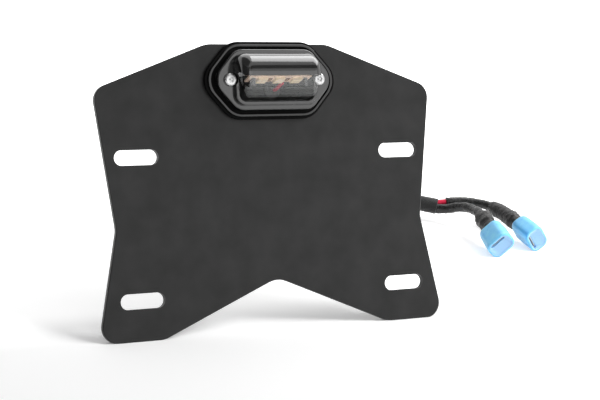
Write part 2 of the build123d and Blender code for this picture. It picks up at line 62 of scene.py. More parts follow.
def rgba(colour: Colour) -> tuple[float, float, float, float]:
    """Opaque colour with its alpha."""
    return (*colour, 1.0)


class Graph:
    """Node tree, with short calls for the nodes that the finishes use."""

    def __init__(self, tree: bpy.types.NodeTree) -> None:
        """Takes up a tree as it is."""
        self.tree = tree

    def node(
        self, kind: str, inputs: dict[str | int, object] | None = None, **settings: object,
    ) -> bpy.types.Node:
        """Adds one node.

        Args:
            kind: Blender's name for the node's type.
            inputs: Values or sockets for the node's inputs, by name or number.
            settings: Properties of the node.

        Returns:
            The new node.
        """
        made = self.tree.nodes.new(kind)
        for key, value in settings.items():
            setattr(made, key, value)
        for key, value in (inputs or {}).items():
            self.feed(made.inputs[key], value)
        return made

    def feed(self, socket: Socket, value: object) -> None:
        """Links a socket to another one, or sets its own value.

        Args:
            socket: The input to fill.
            value: An output socket, a number, or a colour.
        """
        if isinstance(value, bpy.types.NodeSocket):
            self.tree.links.new(value, socket)
        else:
            socket.default_value = value

    def math(self, operation: str, *values: object) -> Socket:
        """Result of one Math node on numbers and sockets."""
        return self.node("ShaderNodeMath", dict(enumerate(values)), operation=operation).outputs[0]

    def axis(self, vector: Socket, name: str) -> Socket:
        """One axis of a vector."""
        return self.node("ShaderNodeSeparateXYZ", {0: vector}).outputs[name]

    def place(self) -> Socket:
        """Position on the piece, in metres."""
        return self.node("ShaderNodeTexCoord").outputs["Object"]

    def laid_out(self) -> Socket:
        """Place on a piece's own map."""
        return self.node("ShaderNodeUVMap").outputs["UV"]

    def fade(
        self, value: Socket, span: tuple[float, float], ends: tuple[float, float] = (0.0, 1.0),
        curve: str = "LINEAR",
    ) -> Socket:
        """Runs from one number to another while a value runs over a span.

        Args:
            value: The value that leads.
            span: Start and end of its span.
            ends: The numbers at the span's start and end.
            curve: How the number runs between them.

        Returns:
            The number, which keeps still outside the span.
        """
        inputs = {
            "Value": value, "From Min": span[0], "From Max": span[1], "To Min": ends[0], "To Max": ends[1],
        }
        return self.node("ShaderNodeMapRange", inputs, interpolation_type=curve).outputs["Result"]

    def speckle(self, size: float, detail: float = 2.0) -> Socket:
        """Soft random pattern.

        Args:
            size: Width of one blotch.
            detail: Number of finer layers.

        Returns:
            The pattern's brightness, around one half.
        """
        inputs = {"Vector": self.place(), "Scale": 1 / size, "Detail": detail}
        return self.node("ShaderNodeTexNoise", inputs).outputs["Fac"]

    def between(self, pattern: Socket, low: float, high: float) -> Socket:
        """Number that runs from low to high over the middle of a random pattern."""
        return self.fade(pattern, PATTERN_SPAN, (low, high))

    def blend(self, pattern: Socket, first: Colour, second: Colour) -> Socket:
        """Colour that runs from one to another over the middle of a random pattern."""
        ramp = self.node("ShaderNodeValToRGB", {"Fac": pattern})
        for stop, position, colour in zip(ramp.color_ramp.elements, PATTERN_SPAN, (first, second)):
            stop.color = rgba(colour)
            stop.position = position
        return ramp.outputs["Color"]

    def bump(self, height: Socket, depth: float, under: Socket | None = None) -> Socket:
        """Relief from a height pattern.

        Args:
            height: Pattern from 0 to 1.
            depth: Height of the relief.
            under: Normal of a relief that this one lies on, or None.

        Returns:
            The bent normal.
        """
        made = self.node("ShaderNodeBump", {"Height": height, "Distance": depth})
        if under is not None:
            self.feed(made.inputs["Normal"], under)
        return made.outputs["Normal"]


class MaterialGraph(Graph):
    """Node tree of one new material, around its Principled shader."""

    def __init__(self, name: str) -> None:
        """Starts the material.

        Args:
            name: Name of the finish.
        """
        self.material = bpy.data.materials.new(name + MADE)
        self.material.use_nodes = True
        super().__init__(self.material.node_tree)
        self.shader = self.tree.nodes["Principled BSDF"]

    def set(self, **values: object) -> None:
        """Fills inputs of the Principled shader, with an underscore for each blank in a name."""
        for key, value in values.items():
            self.feed(self.shader.inputs[key.replace("_", " ")], value)


class Finish:
    """Something that can make a material once and hand it out."""

    name: str

    def build(self) -> bpy.types.Material:
        """Makes the material."""
        raise NotImplementedError

    def material(self) -> bpy.types.Material:
        """The material, made when it is first asked for."""
        return bpy.data.materials.get(self.name + MADE) or self.build()


@dataclass(frozen=True)
class Coating(Finish):
    """Opaque paint, plastic or rubber with a fine relief."""

    name: str
    light: Colour
    dark: Colour
    roughness: tuple[float, float]
    grain: float
    relief: float
    blotch: float = 8 * MM
    specular: float = 0.5
    coat: float = 0.0
    # depths between which the coat fades out: painted shade in a groove
    groove_shade_depths: tuple[float, float] | None = None

    def build(self) -> bpy.types.Material:
        """Makes the material.

        Returns:
            A material whose colour, roughness and relief vary finely. Between two given depths, where they
            are
            given, its coat rises from none: painted shade, which leaves the groove's floor uncoated so that
                it
            reflects less and looks dark.
        """
        graph = MaterialGraph(self.name)
        coat = self.coat
        # Painted shade: no coat at the groove's depth, so the groove reflects less and looks dark.
        if self.groove_shade_depths is not None:
            coat = graph.fade(graph.axis(graph.place(), "Y"), self.groove_shade_depths, (0.0, self.coat))
        fine = graph.speckle(self.grain, detail=3.0)
        graph.set(
            Base_Color=graph.blend(graph.speckle(self.blotch), self.dark, self.light),
            Roughness=graph.between(fine, *self.roughness),
            Normal=graph.bump(fine, self.relief),
            Specular_IOR_Level=self.specular,
            Coat_Weight=coat,
        )
        return graph.material


@dataclass(frozen=True)
class Metal(Finish):
    """Bare metal with fine marks."""

    name: str
    light: Colour
    dark: Colour
    roughness: tuple[float, float]
    grain: float
    relief: float = 0.01 * MM

    def build(self) -> bpy.types.Material:
        """Makes the material.

        Returns:
            A metal whose tone and roughness vary finely.
        """
        graph = MaterialGraph(self.name)
        fine = graph.speckle(self.grain, detail=4.0)
        graph.set(
            Base_Color=graph.blend(fine, self.dark, self.light),
            Roughness=graph.between(fine, *self.roughness),
            Normal=graph.bump(fine, self.relief),
            Metallic=1.0,
        )
        return graph.material


@dataclass(frozen=True)
class SoftVinyl(Finish):
    """Slightly see-through soft vinyl, painted paler from a distance along the piece's own map: painted light
    on the mouth face.
    """

    name: str
    light: Colour
    dark: Colour
    painted_mouth_light: Colour
    glow: float
    mouth: tuple[float, float] = (19.8 * MM, 20.6 * MM)
    roughness: tuple[float, float] = (0.26, 0.38)
    blotch: float = 5 * MM
    grain: float = 0.9 * MM
    relief: float = 0.12 * MM
    spread: Colour = (1.0, 1.4, 2.0)
    spread_size: float = 1.2 * MM

    def build(self) -> bpy.types.Material:
        """Makes the material.

        Returns:
            A vinyl that scatters light inside, with painted light that makes its mouth face paler.
        """
        graph = MaterialGraph(self.name)
        # Painted light: the mouth face gets a paler colour in place of the light that falls on it.
        painted_light_at_mouth = graph.fade(graph.axis(graph.laid_out(), "Y"), self.mouth)
        broad = graph.speckle(self.blotch)
        body = graph.blend(broad, self.dark, self.light)
        sides = {0: painted_light_at_mouth, 6: body, 7: rgba(self.painted_mouth_light)}  # factor, first and second colour
        graph.set(
            Base_Color=graph.node("ShaderNodeMix", sides, data_type="RGBA").outputs[2],
            Roughness=graph.between(graph.speckle(self.grain), *self.roughness),
            Normal=graph.bump(broad, self.relief),
            Subsurface_Weight=self.glow,
            Subsurface_Radius=self.spread,
            Subsurface_Scale=self.spread_size,
        )
        return graph.material


@dataclass(frozen=True)
class ClearPlastic(Finish):
    """Clear moulded plastic: only its reflection covers what lies behind it."""

    name: str
    shine: Colour
    mirror: float = 0.045
    slant_power: float = 5.0
    roughness: tuple[float, float] = (0.03, 0.08)
    wave: float = 5 * MM
    relief: float = 0.03 * MM

    def build(self) -> bpy.types.Material:
        """Makes the material.

        Returns:
            A glossy skin that is see-through where it isn't bright with reflections.
        """
        graph = MaterialGraph(self.name)
        waves = graph.speckle(self.wave, detail=1.0)
        slant = graph.node("ShaderNodeLayerWeight", {"Blend": 0.5}).outputs["Facing"]
        rise = graph.math("POWER", slant, self.slant_power)
        graph.set(
            Base_Color=rgba(self.shine),
            Metallic=1.0,
            Roughness=graph.between(waves, *self.roughness),
            Normal=graph.bump(waves, self.relief),
            Alpha=graph.fade(rise, (0.0, 1.0), (self.mirror, 1.0)),
        )
        return graph.material


@dataclass(frozen=True)
class Braid(Finish):
    """Fine woven sleeve, laid out along a tube's own map."""

    name: str
    light: Colour
    dark: Colour
    strands: int = 26
    pitch: float = 1.1 * MM
    weave_relief: float = 0.12 * MM
    fuzz: float = 0.35 * MM
    fuzz_relief: float = 0.08 * MM
    roughness: tuple[float, float] = (0.62, 0.85)
    specular: float = 0.35
    sheen: float = 0.25

    def build(self) -> bpy.types.Material:
        """Makes the material.

        Returns:
            A matte weave of two crossing sets of strands.
        """
        graph = MaterialGraph(self.name)
        turn = graph.math("MULTIPLY", graph.axis(graph.laid_out(), "X"), 2 * math.pi * self.strands)
        along = graph.math("MULTIPLY", graph.axis(graph.laid_out(), "Y"), 2 * math.pi / self.pitch)
        first, second = (graph.math("SINE", graph.math(way, turn, along)) for way in ("ADD", "SUBTRACT"))
        weave = graph.bump(graph.math("MAXIMUM", first, second), self.weave_relief)
        fuzz = graph.speckle(self.fuzz, detail=3.0)
        graph.set(
            Base_Color=graph.blend(fuzz, self.dark, self.light),
            Roughness=graph.between(fuzz, *self.roughness),
            Normal=graph.bump(fuzz, self.fuzz_relief, weave),
            Specular_IOR_Level=self.specular,
            Sheen_Weight=self.sheen,
            Sheen_Roughness=0.5,
        )
        return graph.material


@dataclass(frozen=True)
class PaleGround(Finish):
    """White ground that keeps the object's shadow near the bracket, with painted light that fades its shadows
    far from the bracket and behind it.
    """

    name: str
    albedo: float
    painted_light_levels: tuple[float, float]
    distances: tuple[float, float]
    behind_painted_light: float
    behind_depth: float
    blotch: float = 400 * MM
    blotch_tone: float = 0.01

    def build(self) -> bpy.types.Material:
        """Makes the material.

        Returns:
            A diffuse white with a glow of painted light for the rays that show the background, which lifts it
            to full white and fades the shadows on it, more so behind the bracket and far from it.
        """
        graph = MaterialGraph(self.name)
        cloud = graph.speckle(self.blotch, detail=1.0)
        paper = graph.node("ShaderNodeBsdfDiffuse", {
            "Color": graph.blend(cloud, grey(self.albedo - self.blotch_tone), grey(self.albedo)),
        })
        away = graph.node("ShaderNodeVectorMath", {0: graph.place()}, operation="LENGTH").outputs["Value"]
        depth = graph.axis(graph.place(), "Y")
        # Painted light: a glow that grows far from the bracket and behind it, fading the shadows that fall
        # there.
        painted_light = graph.math(
            "ADD", graph.fade(away, self.distances, self.painted_light_levels, "SMOOTHSTEP"),
            graph.fade(depth, (0.0, self.behind_depth), (0.0, self.behind_painted_light), "SMOOTHSTEP"),
        )
        glow = graph.node("ShaderNodeEmission", {"Strength": graph.math("MULTIPLY", seen_rays(graph), painted_light)})
        both = graph.node("ShaderNodeAddShader", {0: paper.outputs[0], 1: glow.outputs[0]})
        graph.feed(graph.tree.nodes["Material Output"].inputs["Surface"], both.outputs[0])
        return graph.material


@dataclass(frozen=True)
class Card(Finish):
    """Even studio card, lit or dark."""

    name: str
    strength: float

    def build(self) -> bpy.types.Material:
        """Makes the material."""
        graph = MaterialGraph(self.name)
        graph.set(
            Base_Color=rgba(grey(0.0)), Emission_Color=rgba(grey(1.0)), Emission_Strength=self.strength,
        )
        return graph.material


def seen_rays(graph: Graph) -> Socket:
    """1 for rays that show the background: those of the camera, of gloss and of clear pieces."""
    rays = graph.node("ShaderNodeLightPath").outputs
    either = graph.math("MAXIMUM", rays["Is Camera Ray"], rays["Is Glossy Ray"])
    return graph.math("MAXIMUM", either, rays["Is Transmission Ray"])


class Finishes(Enum):
    """Every finish of the bracket. All but the tray's have the name of their slot in the record."""

    POWDER_COAT = Coating(
        "powder_coat", grey(0.021), grey(0.013), (0.34, 0.48), 0.45 * MM, 0.04 * MM, 14 * MM, 0.22,
    )
    LAMP_PLASTIC = Coating(
        "lamp_plastic", grey(0.009), grey(0.006), (0.12, 0.2), 1.2 * MM, 0.01 * MM, coat=0.8,
    )
    TRAY_PLASTIC = Coating(
        "tray_plastic", grey(0.006), grey(0.004), (0.2, 0.3), 1.0 * MM, 0.015 * MM, specular=0.02, coat=1.0,
        # painted shade: the coat fades to none in the groove between the rim and the cover
        groove_shade_depths=(-2.4 * MM, -3.2 * MM),
    )
    SEAL_RUBBER = Coating("seal_rubber", grey(0.016), grey(0.009), (0.6, 0.8), 0.6 * MM, 0.05 * MM)
    LENS_CLEAR = ClearPlastic("lens_clear", (0.96, 0.975, 0.97))
    BOARD = Coating("board", (0.95, 0.72, 0.56), (0.86, 0.62, 0.48), (0.4, 0.6), 0.5 * MM, 0.01 * MM)
    LIGHT_CHIP = Coating(
        "light_chip", (0.96, 0.76, 0.6), (0.88, 0.72, 0.42), (0.25, 0.4), 0.6 * MM, 0.02 * MM, 3 * MM,
    )
    RESISTOR = Coating("resistor", (0.3, 0.14, 0.03), (0.1, 0.04, 0.02), (0.3, 0.5), 0.5 * MM, 0.02 * MM)
    STAINLESS = Metal("stainless", grey(0.72), grey(0.45), (0.2, 0.4), 0.4 * MM)
    SLEEVE = Braid("sleeve", grey(0.012), grey(0.006))
    WIRE_BLACK = Coating(
        "wire_black", grey(0.012), grey(0.006), (0.22, 0.42), 1.1 * MM, 0.4 * MM, 4 * MM, 0.45,
    )
    WIRE_RED = Coating(
        "wire_red", (0.68, 0.012, 0.06), (0.5, 0.008, 0.04), (0.35, 0.5), 0.7 * MM, 0.03 * MM, specular=0.3,
    )
    SHRINK_TUBE = Coating(
        "shrink_tube", grey(0.012), (0.009, 0.007, 0.006), (0.3, 0.55), 1.3 * MM, 0.5 * MM, 4 * MM, 0.4,
    )
    # the third, paler colour is painted light on the covers' mouth faces
    BLUE_VINYL = SoftVinyl("blue_vinyl", (0.235, 0.67, 1.0), (0.17, 0.58, 1.0), (0.37, 0.63, 0.93), 0.4)
    TINNED_BRASS = Metal("tinned_brass", (0.8, 0.78, 0.75), (0.5, 0.48, 0.44), (0.25, 0.45), 0.5 * MM)


def dress(piece: bpy.types.Object, finish: Finishes) -> None:
    """Gives a piece its material.

    Args:
        piece: The object to dress.
        finish: Its finish.
    """
    material = finish.value.material()
    if piece.data.materials:
        for index in range(len(piece.data.materials)):
            piece.data.materials[index] = material
    else:
        piece.data.materials.append(material)


def link(piece: bpy.types.Object) -> bpy.types.Object:
    """Puts a new object in the scene and returns it."""
    bpy.context.scene.collection.objects.link(piece)
    return piece


@dataclass
class Camera:
    """Camera at the photograph's place and angle."""

    place: Point = (-0.3321, -0.7040, 0.0058)
    right: Point = (0.8963, -0.4407, -0.0483)
    up: Point = (0.0406, -0.0270, 0.9988)
    lens: float = 92.2
    sensor: float = 36.0

    def build(self) -> bpy.types.Object:
        """Makes the camera.

        Returns:
            The camera object, set as the scene's camera.
        """
        data = bpy.data.cameras.new("camera")
        data.lens = self.lens
        data.sensor_width = self.sensor
        data.sensor_fit = "HORIZONTAL"
        camera = link(bpy.data.objects.new("camera", data))
        right = Vector(self.right).normalized()
        back = right.cross(Vector(self.up)).normalized()
        rotation = Matrix((right, back.cross(right), back)).transposed().to_4x4()
        camera.matrix_world = Matrix.Translation(self.place) @ rotation
        bpy.context.scene.camera = camera
        return camera


def skin(
    name: str, rings: list[list[Vector]], finish: Finishes, maps: list[float] | None = None,
) -> bpy.types.Object:
    """Closed smooth piece through rings of points.

    Args:
        name: Name of the piece.
        rings: Rings of equally many points, from one end to the other.
        finish: Its finish.
        maps: Distance along the piece for each ring, for a finish that is laid out along it.

    Returns:
        The piece, with a cap on its first and last ring.
    """
    count = len(rings[0])
    along = maps or [float(number) for number in range(len(rings))]
    faces, corners = [], []
    for number in range(len(rings) - 1):
        low, high = number * count, (number + 1) * count
        for step in range(count):
            after = (step + 1) % count
            faces.append((low + step, low + after, high + after, high + step))
            left, right = step / count, (step + 1) / count
            corners += [(left, along[number]), (right, along[number])]
            corners += [(right, along[number + 1]), (left, along[number + 1])]
    last = (len(rings) - 1) * count
    faces += [tuple(reversed(range(count))), tuple(range(last, last + count))]
    corners += [(0.0, along[0])] * count + [(0.0, along[-1])] * count
    mesh = bpy.data.meshes.new(name)
    mesh.from_pydata([point for ring in rings for point in ring], [], faces)
    layer = mesh.uv_layers.new(name="along_tube")
    for corner, value in zip(layer.data, corners):
        corner.uv = value
    for polygon in mesh.polygons:
        polygon.use_smooth = True
    piece = link(bpy.data.objects.new(name, mesh))
    dress(piece, finish)
    return piece


def stand_for(piece: bpy.types.Object, finish: Finishes, *nodes: str) -> bpy.types.Object:
    """Lets a finer piece take the place of plain solids.

    Args:
        piece: The finer piece.
        finish: Its finish, whose name is its slot in the record; not used.
        nodes: The plain solids that it stands for.

    Returns:
        The piece.
    """
    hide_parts(*nodes)
    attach(piece, "root")
    LOG.info("%s: %d faces", piece.name, len(piece.data.polygons))
    return piece


def smooth_line(name: str, route: list[Point]) -> list[Vector]:
    """Reads a route's smooth line from a NURBS spline.

    Args:
        name: Name for the curve while it is there.
        route: The route's points, in millimetres.

    Returns:
        Points along the line, in metres.
    """
    data = bpy.data.curves.new(name + "_line", "CURVE")
    data.dimensions = "3D"
    spline = data.splines.new("NURBS")
    spline.points.add(len(route) - 1)
    for control, point in zip(spline.points, route):
        control.co = (*[MM * value for value in point], 1.0)
    spline.order_u = min(3, len(route))
    spline.use_endpoint_u = True
    spline.resolution_u = 24
    holder = link(bpy.data.objects.new(data.name, data))
    bpy.context.view_layer.update()
    mesh = bpy.data.meshes.new_from_object(holder)
    line = [vertex.co.copy() for vertex in mesh.vertices]
    bpy.data.objects.remove(holder)
    bpy.data.meshes.remove(mesh)
    return line


def even(line: list[Vector], step: float) -> list[Vector]:
    """Spaces a line's points evenly.

    Args:
        line: Points along a line, at any spacing.
        step: The spacing that is wanted.

    Returns:
        Points at about that spacing, with the same ends.
    """
    reach = [0.0]
    for start, end in zip(line, line[1:]):
        reach.append(reach[-1] + (end - start).length)
    count = max(2, round(reach[-1] / step))
    made, place = [], 0
    for number in range(count + 1):
        target = reach[-1] * number / count
        while place < len(line) - 2 and reach[place + 1] < target:
            place += 1
        span = reach[place + 1] - reach[place]
        share = (target - reach[place]) / span if span else 0.0
        made.append(line[place].lerp(line[place + 1], min(1.0, share)))
    return made


@dataclass(frozen=True)
class Relief:
    """Uneven surface of a tube: broad bulges and fine wrinkles, as shares of its radius, and their sizes."""

    bulge: float
    bulge_size: float
    wrinkle: float = 0.0
    wrinkle_size: float = 1.6 * MM

    def at(self, place: Vector) -> float:
        """Share by which the radius grows at a place."""
        swell = self.bulge * noise.noise(place / self.bulge_size)
        return swell + self.wrinkle * noise.noise(place / self.wrinkle_size)


@dataclass
class Tube:
    """Round uneven piece along a line, with rounded ends, and hollow at its far end if that is open."""

    name: str
    line: list[Vector]
    diameter: float
    finish: Finishes
    relief: Relief
    end_round: float = 0.5 * MM
    open_depth: float = 0.0
    open_wall: float = 0.9 * MM
    step: float = 0.6 * MM
    sides: int = 36

    def girth(self, along: float) -> float:
        """Plain radius at a distance from the start."""
        return self.diameter / 2

    def radius(self, place: Vector, along: float) -> float:
        """Radius at one point of the surface, with its bulges and wrinkles."""
        return self.girth(along) * (1 + self.relief.at(place))

    def frames(self) -> list[tuple[Vector, Vector, Vector, Vector]]:
        """Centre, direction and two side directions at each point of the line, without twist."""
        made, side = [], None
        for number, centre in enumerate(self.line):
            ahead = self.line[min(number + 1, len(self.line) - 1)] - self.line[max(number - 1, 0)]
            ahead.normalize()
            side = ahead.orthogonal() if side is None else side - ahead * side.dot(ahead)
            side.normalize()
            made.append((centre, ahead, side, ahead.cross(side)))
        return made

    def ring(self, frame_here: tuple[Vector, ...], along: float, shift: float, inset: float) -> list[Vector]:
        """One ring of points.

        Args:
            frame_here: Centre, direction and side directions.
            along: Distance from the start of the tube.
            shift: How far the ring lies ahead of the centre.
            inset: How much smaller its radius is.

        Returns:
            The ring's points.
        """
        centre, ahead, side, over = frame_here
        points = []
        for number in range(self.sides):
            angle = 2 * math.pi * number / self.sides
            out = side * math.cos(angle) + over * math.sin(angle)
            reach = self.radius(centre + out * self.diameter / 2, along) - inset
            points.append(centre + ahead * shift + out * reach)
        return points

    def lip(
        self, frame_here: tuple[Vector, ...], along: float, size: float, turn: float, way: int,
    ) -> tuple[float, list[Vector]]:
        """One ring on a rounded end.

        Args:
            frame_here: Centre, direction and side directions of the end.
            along: Distance of the end from the start of the tube.
            size: Radius of the rounding.
            turn: Degrees round it, 0 on the tube's side, 90 on its face and 180 inside it.
            way: 1 at the start of the tube, -1 at its far end.

        Returns:
            The ring's distance from the start of the tube, and its points.
        """
        angle = math.radians(turn)
        shift = way * size * (1 - math.sin(angle))
        return along + shift, self.ring(frame_here, along, shift, size * (1 - math.cos(angle)))

    def build(self) -> bpy.types.Object:
        """Makes the tube.

        Returns:
            The tube's object.
        """
        self.line = even(self.line, self.step)
        frames = self.frames()
        length = sum((end - start).length for start, end in zip(self.line, self.line[1:]))
        made = [self.lip(frames[0], 0.0, self.end_round, turn, 1) for turn in reversed(SIDE_TURNS)]
        for number, here in enumerate(frames):
            reach = length * number / (len(frames) - 1)
            if self.end_round < reach < length - self.end_round:
                made.append((reach, self.ring(here, reach, 0.0, 0.0)))
        size = self.open_wall / 2 if self.open_depth else self.end_round
        turns = SIDE_TURNS + (INNER_TURNS if self.open_depth else ())
        made += [self.lip(frames[-1], length, size, turn, -1) for turn in turns]
        if self.open_depth:
            inside = self.ring(frames[-1], length, -self.open_depth, self.open_wall)
            made.append((length - self.open_depth, inside))
        return skin(self.name, [ring for _, ring in made], self.finish, [reach for reach, _ in made])


@dataclass
class Collar(Tube):
    """Shrink tube over the end of a lead, tapered at its tail, with a narrower neck at the connector."""

    shape: tuple[tuple[float, float], ...] = ()

    def girth(self, along: float) -> float:
        """Radius from the collar's shape, eased between its points.

        Args:
            along: Distance from the collar's tail.

        Returns:
            The plain radius there.
        """
        before = self.shape[0]
        for after in self.shape[1:]:
            if along <= after[0]:
                share = (along - before[0]) / (after[0] - before[0])
                eased = share * share * (3 - 2 * share)
                return before[1] + (after[1] - before[1]) * eased
            before = after
        return before[1]


@dataclass
class SpadeCover:
    """Soft insulating cover of a spade connector, open at a slot near one long side of its mouth.

    Sizes are in millimetres. The steps at the mouth and in the slot are depths under the mouth, each with
    how much further in the ring lies, or how much wider the slot is.
    """

    name: str
    rear: Point
    mouth: Point
    width_direction: Point
    length: float = 20.0
    rear_width: float = 15.2
    mouth_width: float = 16.4
    thickness: float = 12.2
    corner: float = 4.6
    rear_round: float = 2.6
    mouth_round: float = 1.0
    rim: float = 0.5
    mouth_steps: tuple[tuple[float, float], ...] = ((0.02, 0.0), (0.12, 0.12), (0.42, 0.22), (0.5, 0.36))
    slot_offset: float = 3.5
    slot_length: float = 10.0
    slot_gap: float = 1.9
    slot_flat: float = 0.01
    slot_steps: tuple[tuple[float, float], ...] = ((0.5, 0.3), (0.6, 0.1), (0.9, 0.0), (5.0, 0.0))
    belly: float = 0.25
    least_corner: float = 0.6
    corner_steps: int = 10
    side_steps: int = 8
    body_steps: int = 8
    rear_turns: tuple[int, ...] = (90, 70, 50, 30, 10)
    mouth_turns: tuple[int, ...] = (20, 40, 60, 80, 90)

    def outline(
        self, width: float, height: float, corner: float, offset: float = 0.0,
    ) -> list[tuple[float, float]]:
        """Rounded rectangle as points.

        Args:
            width: Its width.
            height: Its height.
            corner: Radius of its corners.
            offset: How far its middle lies to the slot's side.

        Returns:
            Points in order round it.
        """
        points = []
        corners = ((1, -1, -90), (1, 1, 0), (-1, 1, 90), (-1, -1, 180))
        for number, (right, up, start) in enumerate(corners):
            across, along = right * (width / 2 - corner), offset + up * (height / 2 - corner)
            arc = []
            for step in range(self.corner_steps + 1):
                angle = math.radians(start + 90 * step / self.corner_steps)
                arc.append((across + corner * math.cos(angle), along + corner * math.sin(angle)))
            if points:
                points += self._between(points[-1], arc[0])
            points += arc
        return points + self._between(points[-1], points[0])

    def _between(self, start: tuple[float, float], end: tuple[float, float]) -> list[tuple[float, float]]:
        """Points inside a straight side."""
        run, climb = end[0] - start[0], end[1] - start[1]
        shares = [step / self.side_steps for step in range(1, self.side_steps)]
        return [(start[0] + run * share, start[1] + climb * share) for share in shares]

    def sections(self) -> list[tuple[float, list[tuple[float, float]], float]]:
        """Rings from the rear to the inside of the slot.

        Returns:
            Each ring's distance from the rear, its outline, and its distance along the skin.
        """
        made = []

        def add(distance: float, inset: float, skin_way: float = 0.0) -> None:
            """Adds one ring of the outside."""
            share = max(0.0, min(1.0, distance / self.length))
            swell = self.belly * math.sin(math.pi * share)
            width = self.rear_width + (self.mouth_width - self.rear_width) * share + swell - 2 * inset
            height = self.thickness + swell - 2 * inset
            outline = self.outline(width, height, max(self.least_corner, self.corner - inset))
            made.append((distance, outline, skin_way or distance))

        for turn in self.rear_turns:
            angle = math.radians(turn)
            add(self.rear_round * (1 - math.sin(angle)), self.rear_round * (1 - math.cos(angle)))
        body = self.length - self.rear_round - self.mouth_round
        for step in range(1, self.body_steps + 1):
            add(self.rear_round + body * step / self.body_steps, 0.0)
        for turn in self.mouth_turns:
            angle = math.radians(turn)
            back, inset = self.mouth_round * (1 - math.sin(angle)), self.mouth_round * (1 - math.cos(angle))
            add(self.length - back, inset)
        inset = self.mouth_round + self.rim
        face = self.length + inset
        for depth, further in self.mouth_steps:
            add(self.length - depth, inset + further, face)
        for depth, grow in self.slot_steps:
            gap = self.slot_gap + grow
            outline = self.outline(self.slot_length + grow, gap, gap / 2 - self.slot_flat, self.slot_offset)
            made.append((self.length - depth, outline, face))
        return made

    def build(self) -> bpy.types.Object:
        """Makes the cover.

        Returns:
            The cover's object, in place of its plain solid.
        """
        axis = (Vector(self.mouth) - Vector(self.rear)).normalized()
        across = Vector(self.width_direction)
        across = (across - axis * across.dot(axis)).normalized()
        over = axis.cross(across)
        rings, maps = [], []
        for distance, outline, skin_way in self.sections():
            centre = Vector(self.rear) + axis * distance
            rings.append([(centre + across * x + over * y) * MM for x, y in outline])
            maps.append(skin_way * MM)
        return skin(self.name, rings, Finishes.BLUE_VINYL, maps)


@dataclass
class Grommet:
    """Rubber grommet with a flange on each side of the plate and a ribbed boot, in millimetres."""

    height: float = 66.8
    sides: int = 64
    ribs: int = 4
    rib_depth: float = 0.55
    rib_fade: float = 0.4
    rib_steps: int = 8
    boot_start: float = 6.5
    boot_end: float = 18.2
    boot_root: float = 6.9
    boot_tip: float = 5.35
    front: tuple[tuple[float, float], ...] = (
        (3.3, -3.0), (4.1, -3.0), (4.3, -2.8), (4.3, -0.8), (8.0, -0.8), (8.2, -0.6), (8.2, -0.2), (8.0, 0.0),
        (6.4, 0.0), (6.4, 3.0), (8.6, 3.0), (8.85, 3.1), (9.0, 3.35), (9.0, 4.5), (8.85, 4.85), (8.5, 5.0),
        (7.6, 5.05), (7.1, 5.5),
    )
    tip: tuple[tuple[float, float], ...] = ((5.3, 18.7), (5.15, 19.0), (4.95, 19.0))

    def profile(self) -> list[tuple[float, float]]:
        """Radius and depth of each ring, from the front to the boot's tip."""
        points = list(self.front)
        steps = self.ribs * self.rib_steps
        for step in range(steps + 1):
            share = step / steps
            plain = self.boot_root + (self.boot_tip - self.boot_root) * share
            wave = self.rib_depth * (1 - math.cos(2 * math.pi * self.ribs * share)) / 2
            depth = self.boot_start + (self.boot_end - self.boot_start) * share
            points.append((plain - wave * (1 - self.rib_fade * share), depth))
        return points + list(self.tip)

    def build(self) -> bpy.types.Object:
        """Makes the grommet.

        Returns:
            The grommet's object, in place of its plain solid.
        """
        rings = []
        for radius, depth in self.profile():
            ring = []
            for step in range(self.sides):
                angle = -2 * math.pi * step / self.sides
                across, up = radius * math.cos(angle), radius * math.sin(angle)
                ring.append(Vector((across, depth, self.height + up)) * MM)
            rings.append(ring)
        boot = skin("grommet_boot", rings, Finishes.SEAL_RUBBER)
        return stand_for(boot, Finishes.SEAL_RUBBER, "cable_grommet")


@dataclass(frozen=True)
class Lead:
    """One lead with its collar and its connector.

    The route, the connector's mouth and the collar's shape are in millimetres. The shape is made of
    distances from the collar's tail, each with its radius.
    """

    name: str
    diameter: float
    length: float
    route: tuple[Point, ...]
    collar: tuple[tuple[float, float], ...]
    mouth: Point
    width_direction: Point
    relief: Relief = Relief(0.14, 4.5 * MM, 0.07, 1.6 * MM)
    collar_relief: Relief = Relief(0.12, 4.5 * MM, 0.07, 1.8 * MM)
    fine_step: float = 0.3 * MM

    def build(self) -> tuple[Tube, list[bpy.types.Object]]:
        """Makes the collar and the connector's cover.

        Returns:
            The lead's tube, not yet built, and the pieces on it.
        """
        line = even(smooth_line(self.name, list(self.route)), self.fine_step)
        covered = round(self.collar[-1][0] * MM / self.fine_step)
        collar = Collar(
            self.name + "_shrink_collar", [point.copy() for point in line[-covered - 1:]],
            2 * self.collar[2][1] * MM, Finishes.SHRINK_TUBE, self.collar_relief,
            shape=tuple((distance * MM, radius * MM) for distance, radius in self.collar),
        ).build()
        stand_for(collar, Finishes.SHRINK_TUBE, self.name + "_collar")
        cover = SpadeCover(
            self.name + "_connector_cover", self.route[-1], self.mouth, self.width_direction,
        ).build()
        stand_for(cover, Finishes.BLUE_VINYL, self.name + "_spade_cover")
        tube = Tube("lead_" + self.name, line, self.diameter, Finishes.WIRE_BLACK, self.relief)
        return tube, [collar, cover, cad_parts[self.name + "_terminal"]]


